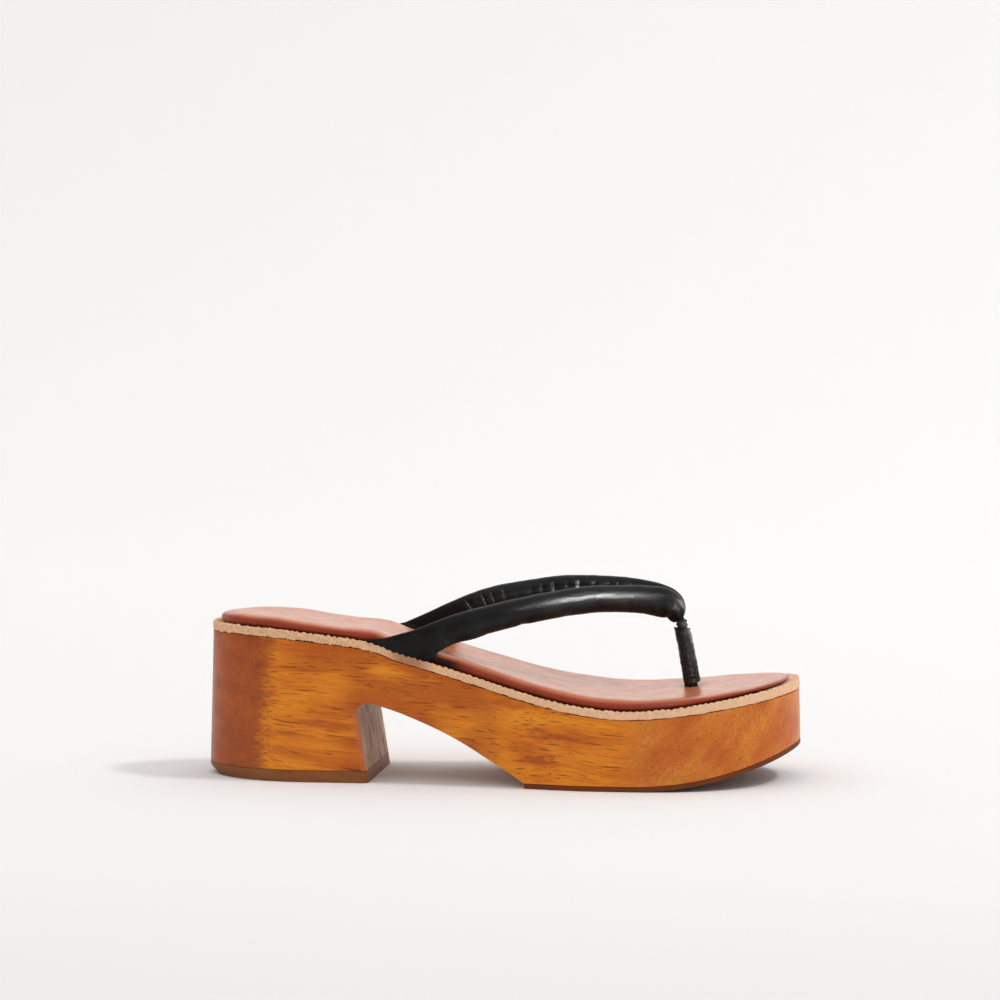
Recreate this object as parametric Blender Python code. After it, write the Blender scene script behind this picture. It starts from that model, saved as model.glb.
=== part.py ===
"""Right toe post sandal on a wooden platform sole: wood, rubber treads, leather midsole, padded footbed,
rolled straps and a bound toe post. Sizes are in millimetres and become metres where vertices are made.
Stations run from the heel to the toe. +X is the toe and +Y the big toe side."""

import math
from collections import namedtuple

import bmesh
import bpy
from mathutils import Vector

MILLIMETRE = 0.001
GAP = 0.3  # between neighbouring pieces
MERGE_DISTANCE = 0.001
SHARP_ANGLE = 35.0  # edges with a wider turn stay sharp

# Plan of the sole
HEEL_BACK = 0.8  # station of the sole's back
TOE_TIP = 258.2
HEEL_ROUND = 47.0  # length of the oval heel end
HEEL_FULLNESS = 2.0  # power of its oval
TOE_ROUND = 63.0
TOE_FULLNESS = 2.2
TOE_SWING = 8.0  # shift of the toe tip towards the big toe
TOE_SWING_START = 190.0
TOE_SWING_POWER = 1.5
WALL_LEAN = 0.027  # inward lean of the walls for each unit of height
HALF_WIDTH = 45.5  # at the ball

# Layers of the sole
HEEL_LIFT_THICKNESS = 4.9
HEEL_LIFT_LENGTH = 84.0  # before the breast is cut
HEEL_CHAMFER = 3.0  # the lift's bottom edge at the back is set in by this
HEEL_CHAMFER_HEIGHT = 4.0
OUTSOLE_THICKNESS = 1.9
OUTSOLE_START = 142.5
TOE_SPRING = 15.0
TOE_SPRING_START = 188.0
TOE_SPRING_POWER = 1.95
FOOTBED_SET_BACK = 1.2  # of the footbed's toe end, beyond its even inset

# Breast of the heel and arch
BREAST_FOOT = (75.4, -4.0)
BREAST_SKEW = 0.02  # forward shift for each unit towards the big toe side
BREAST_EDGE_ROUND = 2.4  # at the floor
ARCH_EDGE_ROUND = 1.2
EDGE_ROUND_STEPS = 3
BREAST_ROUND_CENTRE = (73.9, 29.9)
BREAST_ROUND_RADIUS = 4.1
BREAST_ROUND_ANGLES = (171.0, 80.0)
BREAST_ROUND_STEPS = 5
ARCH_STEPS = 16
ARCH_END_DEPTH = -4.0
CUTTER_REACH = 12.0  # outside the walls

# Toe post
POST_FOOT = (210.9, 12.0, 39.0)
POST_HEAD = (206.5, 12.0, 63.2)
CORE_FOOT_RADIUS = 2.2
CORE_NECK_RADIUS = 1.5
CORE_DEPTH = 3.0  # of its end below the post's foot
CORE_TOP = 29.2  # of its end above the post's foot
SLEEVE_RADII = (3.75, 3.35)  # at its foot and at the neck
SLEEVE_WALL = 1.0
SLEEVE_ENDS = (0.6, 24.4)
BINDING_ENDS = (24.8, 28.4)
BINDING_TURNS = 4
BINDING_THREAD = 0.6
BINDING_GROOVE = 0.3  # thickness left between two turns
BINDING_STEPS = 4
POST_SIDES = 20

# Straps
STRAP_SIDES = 20
STRAP_RINGS = 34
TAB_HALF_WIDTH = 14.0
TAB_MIDDLE = 86.6  # station
TAB_HALF_THICKNESS = 1.15
TAB_INSET = 1.75  # of the tab's middle from the midsole's edge
NECK_ROWS = 4  # last rows of a strap's table, where it only turns down

STATIONS_HEEL = 10
STATIONS_MIDDLE = 22
STATIONS_TOE = 12

LATERAL = -1
MEDIAL = 1

Section = namedtuple("Section", "station lateral medial wood_top midsole footbed")
SOLE_SECTIONS = [
    Section(0, 32.0, 30.0, 62.6, 3.4, 3.6),
    Section(30, 32.0, 30.0, 61.6, 3.4, 5.0),
    Section(62, 32.3, 30.0, 58.4, 3.3, 3.5),
    Section(76, 32.4, 30.0, 56.1, 3.3, 3.9),
    Section(86, 32.7, 30.2, 52.4, 3.3, 4.5),
    Section(106, 34.0, 31.0, 46.9, 3.3, 4.7),
    Section(125, 36.4, 32.8, 41.4, 3.3, 4.6),
    Section(145, 40.6, 37.2, 35.9, 3.3, 4.2),
    Section(165, 44.8, 42.6, 31.8, 3.3, 4.1),
    Section(185, 45.5, 44.8, 30.0, 3.3, 4.0),
    Section(206, 45.5, 45.1, 31.2, 3.4, 3.4),
    Section(235, 45.5, 45.1, 35.0, 3.9, 2.0),
    Section(258, 45.5, 45.1, 38.8, 4.0, 1.5),
]

Arch = namedtuple("Arch", "station height")
ARCH_SECTIONS = [
    Arch(76.6, 33.9),
    Arch(90.0, 29.6),
    Arch(110.0, 21.0),
    Arch(128.0, 10.7),
    Arch(142.0, 2.1),
]

Pillow = namedtuple("Pillow", "inset rise")
FOOTBED_RINGS = [
    Pillow(3.7, 0.0),
    Pillow(3.3, 0.3),
    Pillow(3.6, 0.6),
    Pillow(4.8, 0.84),
    Pillow(7.4, 0.98),
    Pillow(10.5, 1.0),
    Pillow(17.0, 0.93),
    Pillow(26.0, 0.88),
]

Strap = namedtuple("Strap", "station offset height half_width half_thickness lean")
StrapStep = namedtuple("StrapStep", ("step",) + Strap._fields)  # a row with its number along the strap
LATERAL_STRAP = [
    Strap(93.8, -30.5, 59.5, 12.0, 1.5, 166),
    Strap(98.2, -29.9, 61.1, 10.6, 1.9, 164),
    Strap(103.2, -28.7, 62.8, 8.9, 2.6, 158),
    Strap(109.0, -26.4, 64.8, 7.6, 3.5, 144),
    Strap(116.0, -23.2, 67.0, 6.7, 4.6, 126),
    Strap(124.5, -19.4, 69.4, 6.0, 5.3, 112),
    Strap(134.0, -15.6, 71.5, 5.8, 5.6, 104),
    Strap(144.0, -11.9, 73.5, 5.8, 5.7, 102),
    Strap(156.0, -7.7, 75.5, 5.8, 5.7, 98),
    Strap(168.0, -3.4, 76.8, 5.9, 5.7, 93),
    Strap(180.0, 0.9, 77.0, 5.9, 5.7, 89),
    Strap(190.0, 4.4, 76.4, 6.2, 5.4, 84),
    Strap(197.3, 6.9, 75.2, 6.6, 5.0, 74),
    Strap(201.8, 8.6, 73.3, 6.0, 4.5, 54),
    Strap(204.2, 10.0, 70.7, 4.1, 3.3, 26),
    Strap(205.0, 11.2, 68.3, 2.2, 2.0, 11),
    Strap(205.5, 11.9, 66.9, 1.4, 1.4, 11),
]
MEDIAL_STRAP = [
    Strap(94.0, 28.6, 60.0, 11.6, 1.5, 165),
    Strap(99.6, 28.2, 63.0, 9.7, 1.9, 159),
    Strap(104.6, 27.7, 65.8, 8.3, 2.6, 152),
    Strap(109.6, 27.0, 68.4, 7.1, 3.5, 141),
    Strap(116.5, 26.0, 71.4, 6.3, 4.4, 124),
    Strap(126.0, 24.6, 74.6, 5.9, 5.0, 111),
    Strap(138.0, 23.0, 77.2, 5.8, 5.3, 102),
    Strap(153.0, 21.2, 79.2, 5.8, 5.3, 97),
    Strap(166.0, 19.7, 79.5, 5.9, 5.3, 91),
    Strap(178.0, 18.4, 79.2, 5.9, 5.2, 87),
    Strap(188.5, 17.6, 77.6, 6.2, 5.0, 81),
    Strap(196.8, 16.9, 75.4, 6.6, 4.7, 72),
    Strap(201.8, 15.4, 73.3, 6.0, 4.4, 54),
    Strap(204.2, 14.0, 70.7, 4.1, 3.3, 26),
    Strap(205.0, 12.8, 68.3, 2.2, 2.0, 11),
    Strap(205.5, 12.1, 66.9, 1.4, 1.4, 11),
]


def curve(rows, at, column):
    """A table's column at a station, on a smooth curve through its rows."""
    last = len(rows) - 1
    marks = [row[0] for row in rows]
    values = [getattr(row, column) for row in rows]
    if at <= marks[0]:
        return values[0]
    if at >= marks[last]:
        return values[last]
    start = max(i for i in range(last) if marks[i] <= at)

    def slope(i):
        before = max(i - 1, 0)
        after = min(i + 1, last)
        return (values[after] - values[before]) / (marks[after] - marks[before])

    span = marks[start + 1] - marks[start]
    t = (at - marks[start]) / span
    rise = (2 * t + 1) * (1 - t) ** 2 * values[start] + t * t * (3 - 2 * t) * values[start + 1]
    bend = t * (1 - t) ** 2 * slope(start) - t * t * (1 - t) * slope(start + 1)
    return rise + span * bend


def oval(distance, length, fullness):
    """Share of the full width at a distance into a rounded end."""
    outside = min(max(1 - distance / length, 0.0), 1.0)
    return (1 - outside**fullness) ** (1 / fullness)


def edge(side, station, inset=0.0):
    """Offset of the sole's outline at floor level, or of a line that runs inside it."""
    heel = oval(station - HEEL_BACK - inset, HEEL_ROUND - inset, HEEL_FULLNESS)
    toe = oval(TOE_TIP - inset - station, TOE_ROUND - inset, TOE_FULLNESS)
    half = curve(SOLE_SECTIONS, station, "lateral" if side == LATERAL else "medial") - inset
    forward = max(station - TOE_SWING_START, 0.0) / (TOE_TIP - TOE_SWING_START)
    return TOE_SWING * forward**TOE_SWING_POWER + side * half * heel * toe


def place(station, offset, height):
    """Vertex place in metres, with the origin under the middle of the sole."""
    return Vector((station - (HEEL_BACK + TOE_TIP) / 2, offset, height)) * MILLIMETRE


def leaning(offset, height):
    """Offset of a place on the sole's wall, which leans in as it rises."""
    return offset * (1 - WALL_LEAN * height / HALF_WIDTH)


def wall_place(station, offset, height):
    """Vertex place on the sole, whose walls and ends lean in as they rise."""
    middle = (HEEL_BACK + TOE_TIP) / 2
    along = (station - middle) * (1 - WALL_LEAN * height / (TOE_TIP - middle))
    return place(middle + along, leaning(offset, height), height)


def stations(inset=0.0, first=HEEL_BACK, last=TOE_TIP):
    """Stations from heel to toe, closer together where the ends turn; cut to a stretch of the sole."""
    heel_end = HEEL_ROUND - inset
    toe_end = TOE_ROUND - inset
    rear = HEEL_BACK + HEEL_ROUND
    front = TOE_TIP - TOE_ROUND
    turn = math.pi / 2
    found = [rear - heel_end * math.cos(turn * i / STATIONS_HEEL) for i in range(STATIONS_HEEL)]
    found += [rear + (front - rear) * i / STATIONS_MIDDLE for i in range(STATIONS_MIDDLE)]
    found += [front + toe_end * math.sin(turn * i / STATIONS_TOE) for i in range(STATIONS_TOE + 1)]
    first = max(first, HEEL_BACK + inset)
    last = min(last, TOE_TIP - inset)
    return [first] + [station for station in found if first < station < last] + [last]


def sole_ring(line, height, inset=0.0, shift=None):
    """Closed ring round the sole: up the outer side from heel to toe and back down the big toe side."""
    points = []
    for side, row in ((LATERAL, line), (MEDIAL, line[::-1])):
        for station in row:
            moved = station + (shift(station) if shift else 0.0)
            points.append(wall_place(moved, edge(side, station, inset), height(station)))
    return points


def new_object(name, shape, material=None, helper=False):
    """Object from a bmesh, smooth with its sharp edges kept."""
    bmesh.ops.recalc_face_normals(shape, faces=shape.faces)
    mesh = bpy.data.meshes.new(name)
    shape.to_mesh(mesh)
    shape.free()
    item = bpy.data.objects.new(name, mesh)
    bpy.context.scene.collection.objects.link(item)
    mesh.shade_smooth()
    mesh.set_sharp_from_angle(angle=math.radians(SHARP_ANGLE))
    if material:
        mesh.materials.append(material)
    if helper:
        item.hide_render = True
        item.display_type = "WIRE"
    return item


def lofted(rings, rungs=False, capped=True):
    """Closed shape through rings of points: a face on the first ring, extruded on to each next ring."""
    shape = bmesh.new()
    number = {shape.verts.new(point): i for i, point in enumerate(rings[0])}
    face = shape.faces.new(list(number))
    caps = [(face, number)]
    for ring in rings[1:]:
        made = bmesh.ops.extrude_face_region(shape, geom=[face])["geom"]
        face = next(item for item in made if isinstance(item, bmesh.types.BMFace))
        below, number = number, {}
        for corner in face.verts:
            linked = [side.other_vert(corner) for side in corner.link_edges]
            number[corner] = next(below[other] for other in linked if other in below)
            corner.co = ring[number[corner]]
        caps.append((face, number))
    inner = [cap for cap, _ in (caps[1:-1] if capped else caps)]
    bmesh.ops.delete(shape, geom=inner, context="FACES_ONLY")
    if rungs:
        split_across(caps[0][1])
        split_across(caps[-1][1])
    bmesh.ops.remove_doubles(shape, verts=shape.verts, dist=MERGE_DISTANCE * MILLIMETRE)
    return shape


def split_across(number):
    """Cuts a cap into strips, each rung joining two places that face one another across it."""
    corners = sorted(number, key=number.get)
    for i in range(1, len(corners) // 2 - 1):
        near = corners[i]
        far = corners[-1 - i]
        holder = next(item for item in near.link_faces if far in item.verts)
        bmesh.utils.face_split(holder, near, far)


def sole_layer(name, line, low, high, material):
    """Slab of the sole between two heights that change along it."""
    return new_object(name, lofted([sole_ring(line, low), sole_ring(line, high)], rungs=True), material)


def boolean(item, other, operation):
    """Live Boolean modifier on an object."""
    modifier = item.modifiers.new(operation.title() + " " + other.name, "BOOLEAN")
    modifier.object = other
    modifier.operation = operation
    modifier.solver = "EXACT"


def plain_material(name, red, green, blue, roughness):
    """Non-metal material from display colour values (0 to 255)."""
    def linear(value):
        share = value / 255
        return share / 12.92 if share <= 0.04045 else ((share + 0.055) / 1.055) ** 2.4

    material = bpy.data.materials.new(name)
    material.use_nodes = True
    shader = material.node_tree.nodes["Principled BSDF"]
    shader.inputs["Base Color"].default_value = (linear(red), linear(green), linear(blue), 1.0)
    shader.inputs["Roughness"].default_value = roughness
    shader.inputs["Metallic"].default_value = 0.0
    return material


def wood_top(station):
    return curve(SOLE_SECTIONS, station, "wood_top")


def midsole_low(station):
    return wood_top(station) + GAP


def midsole_high(station):
    return midsole_low(station) + curve(SOLE_SECTIONS, station, "midsole")


def toe_share(station, power):
    """0 up to the start of the toe spring, then rising to 1 at the toe tip."""
    return (max(station - TOE_SPRING_START, 0.0) / (TOE_TIP - TOE_SPRING_START)) ** power


def tread_low(station):
    """Underside of the forefoot tread: flat on the floor, then rising with the toe spring."""
    return TOE_SPRING * toe_share(station, TOE_SPRING_POWER)


def tread_high(station):
    return tread_low(station) + OUTSOLE_THICKNESS


def wood_low(station):
    """Underside of the wood before the arch is cut: the heel's seat, then the forefoot's."""
    heel_seat = HEEL_LIFT_THICKNESS + GAP
    fore_seat = tread_high(station) + GAP
    arch_middle = (BREAST_FOOT[0] + OUTSOLE_START) / 2
    return heel_seat if station < arch_middle else fore_seat


def arch_outline():
    """Side view of the air under the waist: rows of station, height and rounding of the wood's edge there."""
    outline = [(*BREAST_FOOT, BREAST_EDGE_ROUND)]
    start, end = BREAST_ROUND_ANGLES
    for i in range(BREAST_ROUND_STEPS + 1):
        angle = math.radians(start + (end - start) * i / BREAST_ROUND_STEPS)
        outline.append((BREAST_ROUND_CENTRE[0] + BREAST_ROUND_RADIUS * math.cos(angle),
                        BREAST_ROUND_CENTRE[1] + BREAST_ROUND_RADIUS * math.sin(angle), ARCH_EDGE_ROUND))
    first = ARCH_SECTIONS[0].station
    last = ARCH_SECTIONS[-1].station
    for i in range(ARCH_STEPS + 1):
        station = first + (last - first) * i / ARCH_STEPS
        outline.append((station, curve(ARCH_SECTIONS, station, "height"), ARCH_EDGE_ROUND))
    slope = (outline[-1][1] - outline[-2][1]) / (outline[-1][0] - outline[-2][0])
    outline.append((last + (ARCH_END_DEPTH - outline[-1][1]) / slope, ARCH_END_DEPTH, ARCH_EDGE_ROUND))
    return outline


def arch_cutter():
    """Block of air under the waist, wider near the walls so that the wood's edges come out rounded."""
    outline = arch_outline()
    turns = [math.pi / 2 * i / EDGE_ROUND_STEPS for i in range(EDGE_ROUND_STEPS + 1)]
    rings = []
    for side, steps in ((LATERAL, [None] + turns), (MEDIAL, turns[::-1] + [None])):
        for step in steps:
            ring = []
            for i, (station, height, rounding) in enumerate(outline):
                before = outline[max(i - 1, 0)]
                after = outline[min(i + 1, len(outline) - 1)]
                along = Vector((after[0] - before[0], after[1] - before[1])).normalized()
                grown = rounding * (1 - math.sin(step or 0.0))
                depth = -CUTTER_REACH if step is None else rounding * (1 - math.cos(step))
                offset = leaning(edge(side, station), height) - side * depth
                forward = station + BREAST_SKEW * (offset - edge(LATERAL, station))
                ring.append(place(forward - along.y * grown, offset, height + along.x * grown))
            rings.append(ring)
    return new_object("arch_cutter", lofted(rings), helper=True)


def footbed_solid(material):
    """Padded insole: rings that climb the rounded edge and run in over the dished top."""
    rings = []

    def set_back(station):
        return -FOOTBED_SET_BACK * toe_share(station, TOE_SPRING_POWER)

    for pillow in FOOTBED_RINGS:
        def height(station, rise=pillow.rise):
            return midsole_high(station) + GAP + rise * curve(SOLE_SECTIONS, station, "footbed")

        rings.append(sole_ring(stations(pillow.inset), height, pillow.inset, set_back))
    return new_object("footbed", lofted(rings, rungs=True), material)


def heel_lift_solid(material):
    """Rubber lift, longer than the heel until its breast is cut, with a chamfer round the back."""
    line = stations(last=HEEL_LIFT_LENGTH)
    rings = []
    for height, chamfer in ((0.0, HEEL_CHAMFER), (HEEL_CHAMFER_HEIGHT, 0.0), (HEEL_LIFT_THICKNESS, 0.0)):
        def set_in(station, chamfer=chamfer):
            return chamfer * (1 - station / HEEL_LIFT_LENGTH) ** 2

        def level(_station, height=height):
            return height

        rings.append(sole_ring(line, level, shift=set_in))
    return new_object("heel_lift", lofted(rings, rungs=True), material)


def tab_ring(side):
    """Lowest ring of a strap: a flat tab that stands on the midsole beside the footbed."""
    points = []
    for i in range(STRAP_SIDES):
        angle = 2 * math.pi * i / STRAP_SIDES
        station = TAB_MIDDLE - TAB_HALF_WIDTH * math.cos(angle)
        inset = TAB_INSET - side * TAB_HALF_THICKNESS * math.sin(angle)
        height = midsole_high(station) + GAP
        points.append(place(station, leaning(edge(side, station), height) - side * inset, height))
    return points


def strap_ring(rows, at, heading):
    """Oval ring of a strap, its width leaning in the strap's own upright plane."""
    lean = math.radians(curve(rows, at, "lean"))
    centre = Vector((curve(rows, at, "station"), curve(rows, at, "offset"), curve(rows, at, "height")))
    width = Vector((math.cos(lean) * math.cos(heading), math.cos(lean) * math.sin(heading), math.sin(lean)))
    thickness = Vector((-math.sin(heading), math.cos(heading), 0.0))
    points = []
    for i in range(STRAP_SIDES):
        angle = 2 * math.pi * i / STRAP_SIDES
        spot = centre + width * (curve(rows, at, "half_width") * math.cos(angle))
        spot += thickness * (curve(rows, at, "half_thickness") * math.sin(angle))
        points.append(place(*spot))
    return points


def strap_shape(side, rows):
    """Rolled strap from its flat tab over the foot to the neck of the toe post."""
    steps = [StrapStep(i, *row) for i, row in enumerate(rows)]
    last = len(steps) - 1
    neck = last - NECK_ROWS
    rings = [tab_ring(side)]
    for i in range(STRAP_RINGS):
        at = last * i / (STRAP_RINGS - 1)
        behind = max(min(at, neck) - 1 / 2, 0.0)
        ahead = behind + 1
        heading = math.atan2(curve(steps, ahead, "offset") - curve(steps, behind, "offset"),
                             curve(steps, ahead, "station") - curve(steps, behind, "station"))
        rings.append(strap_ring(steps, at, heading))
    return lofted(rings, rungs=True)


def set_on_post(item):
    """Stands an object, made upright at the origin, on the foot of the toe post along its axis."""
    foot = place(*POST_FOOT)
    item.location = foot
    item.rotation_mode = "QUATERNION"
    item.rotation_quaternion = (place(*POST_HEAD) - foot).to_track_quat("Z", "Y")


def core_radius(height):
    """Radius of the post's core, which narrows from its foot to the neck."""
    low, high = SLEEVE_ENDS
    share = min(max((height - low) / (high - low), 0.0), 1.0)
    return CORE_FOOT_RADIUS + (CORE_NECK_RADIUS - CORE_FOOT_RADIUS) * share


def post_ring(radius, height):
    """Ring round the post's axis at a height above its foot."""
    turn = 2 * math.pi / POST_SIDES
    return [Vector((radius * math.cos(turn * i), radius * math.sin(turn * i), height)) * MILLIMETRE
            for i in range(POST_SIDES)]


def post_rod(name, rows, material=None, helper=False, wall=None):
    """Round rod on the post's axis through rows of radius and height, or a tube when it has a wall."""
    shape = lofted([post_ring(radius, height) for radius, height in rows], capped=wall is None)
    item = new_object(name, shape, material, helper)
    if wall:
        shell = item.modifiers.new("Wall", "SOLIDIFY")
        shell.thickness = wall * MILLIMETRE
        shell.offset = -1.0
        shell.use_even_offset = True
    set_on_post(item)
    return item


def binding_solid(material):
    """Thread wound round the neck: one collar with a bulge for each turn."""
    low, high = BINDING_ENDS
    inner = core_radius(low) + GAP
    pitch = (high - low) / BINDING_TURNS
    profile = [(inner, high), (inner, low)]
    for turn in range(BINDING_TURNS):
        for step in range(BINDING_STEPS):
            share = step / BINDING_STEPS
            bulge = BINDING_GROOVE + (BINDING_THREAD - BINDING_GROOVE) * math.sin(math.pi * share)
            profile.append((inner + bulge, low + pitch * (turn + share)))
    profile.append((inner + BINDING_GROOVE, high))
    shape = bmesh.new()
    corners = [shape.verts.new(Vector((radius, 0.0, height)) * MILLIMETRE) for radius, height in profile]
    sides = [shape.edges.new((corners[i - 1], corners[i])) for i in range(len(corners))]
    bmesh.ops.spin(shape, geom=corners + sides, axis=(0.0, 0.0, 1.0), cent=(0.0, 0.0, 0.0),
                   angle=2 * math.pi, steps=POST_SIDES, use_merge=True)
    item = new_object("neck_binding", shape, material)
    set_on_post(item)
    return item


for old in list(bpy.data.objects):
    bpy.data.objects.remove(old)

wood = plain_material("lacquered_wood", 200, 119, 45, 0.4)
rubber = plain_material("brown_rubber", 122, 79, 50, 0.7)
raw_leather = plain_material("raw_leather", 238, 187, 155, 0.85)
insole_leather = plain_material("cognac_leather", 160, 92, 60, 0.4)
strap_leather = plain_material("black_leather", 28, 27, 26, 0.45)
sleeve_leather = plain_material("sleeve_leather", 42, 38, 37, 0.5)
thread = plain_material("black_thread", 24, 22, 22, 0.7)

wooden_sole = sole_layer("wooden_sole", stations(), wood_low, wood_top, wood)
arch = arch_cutter()
boolean(wooden_sole, arch, "DIFFERENCE")
heel_lift = heel_lift_solid(rubber)
boolean(heel_lift, arch, "DIFFERENCE")
fore_line = stations(first=OUTSOLE_START)
forefoot_outsole = sole_layer("forefoot_outsole", fore_line, tread_low, tread_high, rubber)
leather_midsole = sole_layer("leather_midsole", stations(), midsole_low, midsole_high, raw_leather)

footbed = footbed_solid(insole_leather)
hole_rows = [(CORE_FOOT_RADIUS + GAP, height) for height in (-2 * CORE_DEPTH, 2 * CORE_DEPTH)]
post_hole = post_rod("post_hole", hole_rows, helper=True)
boolean(footbed, post_hole, "DIFFERENCE")

strap_upper = new_object("strap_upper", strap_shape(LATERAL, LATERAL_STRAP), strap_leather)
medial_strap = new_object("medial_strap", strap_shape(MEDIAL, MEDIAL_STRAP), helper=True)
core_rows = [(core_radius(height), height) for height in (-CORE_DEPTH, *SLEEVE_ENDS, CORE_TOP)]
post_core = post_rod("post_core", core_rows, helper=True)
boolean(strap_upper, medial_strap, "UNION")
boolean(strap_upper, post_core, "UNION")

sleeve_rows = list(zip(SLEEVE_RADII, SLEEVE_ENDS))
toe_post_sleeve = post_rod("toe_post_sleeve", sleeve_rows, sleeve_leather, wall=SLEEVE_WALL)
neck_binding = binding_solid(thread)

sandal = bpy.data.objects.new("sandal", None)
bpy.context.scene.collection.objects.link(sandal)
for piece in list(bpy.data.objects):
    if piece is not sandal:
        piece.parent = sandal
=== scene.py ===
import bisect
import math

import bmesh
import bpy
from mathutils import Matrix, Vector, noise


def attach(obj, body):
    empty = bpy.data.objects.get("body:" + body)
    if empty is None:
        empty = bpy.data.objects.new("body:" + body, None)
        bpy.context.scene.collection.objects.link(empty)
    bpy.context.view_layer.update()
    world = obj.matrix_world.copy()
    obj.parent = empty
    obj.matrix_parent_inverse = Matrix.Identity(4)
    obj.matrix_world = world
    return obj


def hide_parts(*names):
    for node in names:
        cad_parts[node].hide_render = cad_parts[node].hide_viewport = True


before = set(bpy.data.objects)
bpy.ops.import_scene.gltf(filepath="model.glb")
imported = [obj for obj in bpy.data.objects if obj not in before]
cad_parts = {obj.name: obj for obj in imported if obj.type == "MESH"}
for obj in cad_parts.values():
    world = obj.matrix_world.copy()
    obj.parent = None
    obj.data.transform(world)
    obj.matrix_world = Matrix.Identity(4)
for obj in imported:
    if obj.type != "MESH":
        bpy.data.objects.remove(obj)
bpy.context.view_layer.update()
scene = bpy.context.scene
print("frame loaded with", len(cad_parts), "nodes")

mm = 0.001
weldReach = 0.001 * mm
outerSide = -1  # little toe side, towards the camera
innerSide = 1

# the camera stands low, a little towards the toe
photo = {
    "place": (144.23, -1377.04, 206.93),
    "tilt": 86.382,
    "turn": 6.0413,
    "lens": 115.61,
    "sensor": 36.0,
    "nearest": 0.05,
}


def makeCamera():
    lens = bpy.data.cameras.new("photo_camera")
    lens.lens = photo["lens"]
    lens.sensor_width = photo["sensor"]
    lens.clip_start = photo["nearest"]
    camera = bpy.data.objects.new("photo_camera", lens)
    camera.location = Vector(photo["place"]) * mm
    camera.rotation_euler = (math.radians(photo["tilt"]), 0.0, math.radians(photo["turn"]))
    scene.collection.objects.link(camera)
    scene.camera = camera


makeCamera()
print("camera placed")


# tables of sizes in mm, read on a smooth curve
def track(names, rows, numbered=False):
    names = names.split()
    table = dict(zip(names, zip(*rows)))
    table["marks"] = list(range(len(rows))) if numbered else table[names[0]]
    return table


def along(table, at, name):
    marks = table["marks"]
    values = table[name]
    last = len(marks) - 1
    at = min(max(at, marks[0]), marks[last])
    start = min(bisect.bisect_right(marks, at) - 1, last - 1)

    def slope(i):
        before = max(i - 1, 0)
        after = min(i + 1, last)
        return (values[after] - values[before]) / (marks[after] - marks[before])

    span = marks[start + 1] - marks[start]
    t = (at - marks[start]) / span
    rise = (2 * t + 1) * (1 - t) ** 2 * values[start] + t * t * (3 - 2 * t) * values[start + 1]
    bend = t * (1 - t) ** 2 * slope(start) - t * t * (1 - t) * slope(start + 1)
    return rise + span * bend


def bell(distance, width):
    return math.exp(-((distance / width) ** 2))


def pulse(beat):
    return max(math.cos(2 * math.pi * beat), 0.0) ** 2


def between(low, high, value):
    return min(max((value - low) / (high - low), 0.0), 1.0)


def ease(low, high, value):
    share = between(low, high, value)
    return share * share * (3 - 2 * share)


# plan of the sole: stations run from the heel's back to the toe
solePlan = {
    "heelBack": 0.8,
    "toeTip": 258.2,
    "middle": 129.5,
    "heelRound": 47.0,
    "heelFullness": 2.0,
    "toeRound": 63.0,
    "toeFullness": 2.2,
    "toeSwing": 8.0,
    "swingStart": 190.0,
    "swingPower": 1.5,
    "wallLean": 0.027,
    "halfWidth": 45.5,
    "toeSpring": 15.0,
    "springStart": 188.0,
    "springPower": 1.95,
    "gap": 0.3,
    "capInset": 8.0,  # rounds of the flat faces, in from the edge
}
soleRows = track("station outer inner woodTop welt footbed", [
    (0.0, 32.0, 30.0, 62.6, 3.4, 4.1),
    (30.0, 32.0, 30.0, 61.6, 3.4, 4.5),
    (62.0, 32.3, 30.0, 58.4, 3.3, 3.6),
    (76.0, 32.4, 30.0, 56.1, 3.3, 4.7),
    (86.0, 32.7, 30.2, 52.4, 3.3, 4.8),
    (106.0, 34.0, 31.0, 46.9, 3.3, 4.7),
    (125.0, 36.4, 32.8, 41.4, 3.3, 4.6),
    (145.0, 40.6, 37.2, 35.9, 3.3, 4.2),
    (165.0, 44.8, 42.6, 31.8, 3.3, 4.1),
    (185.0, 45.5, 44.8, 30.0, 3.3, 4.0),
    (206.0, 45.5, 45.1, 31.2, 3.4, 3.4),
    (235.0, 45.5, 45.1, 35.0, 3.9, 2.0),
    (258.0, 45.5, 45.1, 38.8, 4.0, 1.5),
])


def oval(distance, length, fullness):
    outside = min(max(1 - distance / length, 0.0), 1.0)
    return (1 - outside**fullness) ** (1 / fullness)


def centreLine(station):
    forward = max(station - solePlan["swingStart"], 0.0) / (solePlan["toeTip"] - solePlan["swingStart"])
    return solePlan["toeSwing"] * forward ** solePlan["swingPower"]


def halfWidth(side, station, inset=0.0):
    heel = oval(station - solePlan["heelBack"] - inset, solePlan["heelRound"] - inset,
                solePlan["heelFullness"])
    toe = oval(solePlan["toeTip"] - inset - station, solePlan["toeRound"] - inset, solePlan["toeFullness"])
    return (along(soleRows, station, "outer" if side < 0 else "inner") - inset) * heel * toe


def soleEdge(side, station, inset=0.0):
    return centreLine(station) + side * halfWidth(side, station, inset)


def spotAt(station, offset, height):
    return Vector((station - solePlan["middle"], offset, height)) * mm


def leanIn(offset, height):
    return offset * (1 - solePlan["wallLean"] * height / solePlan["halfWidth"])


def wallSpot(station, offset, height):
    reach = solePlan["toeTip"] - solePlan["middle"]
    forward = (station - solePlan["middle"]) * (1 - solePlan["wallLean"] * height / reach)
    return spotAt(solePlan["middle"] + forward, leanIn(offset, height), height)


def toeShare(station):
    start = solePlan["springStart"]
    return (max(station - start, 0.0) / (solePlan["toeTip"] - start)) ** solePlan["springPower"]


def springRise(station):
    return solePlan["toeSpring"] * toeShare(station)


def woodTop(station):
    return along(soleRows, station, "woodTop")


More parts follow.
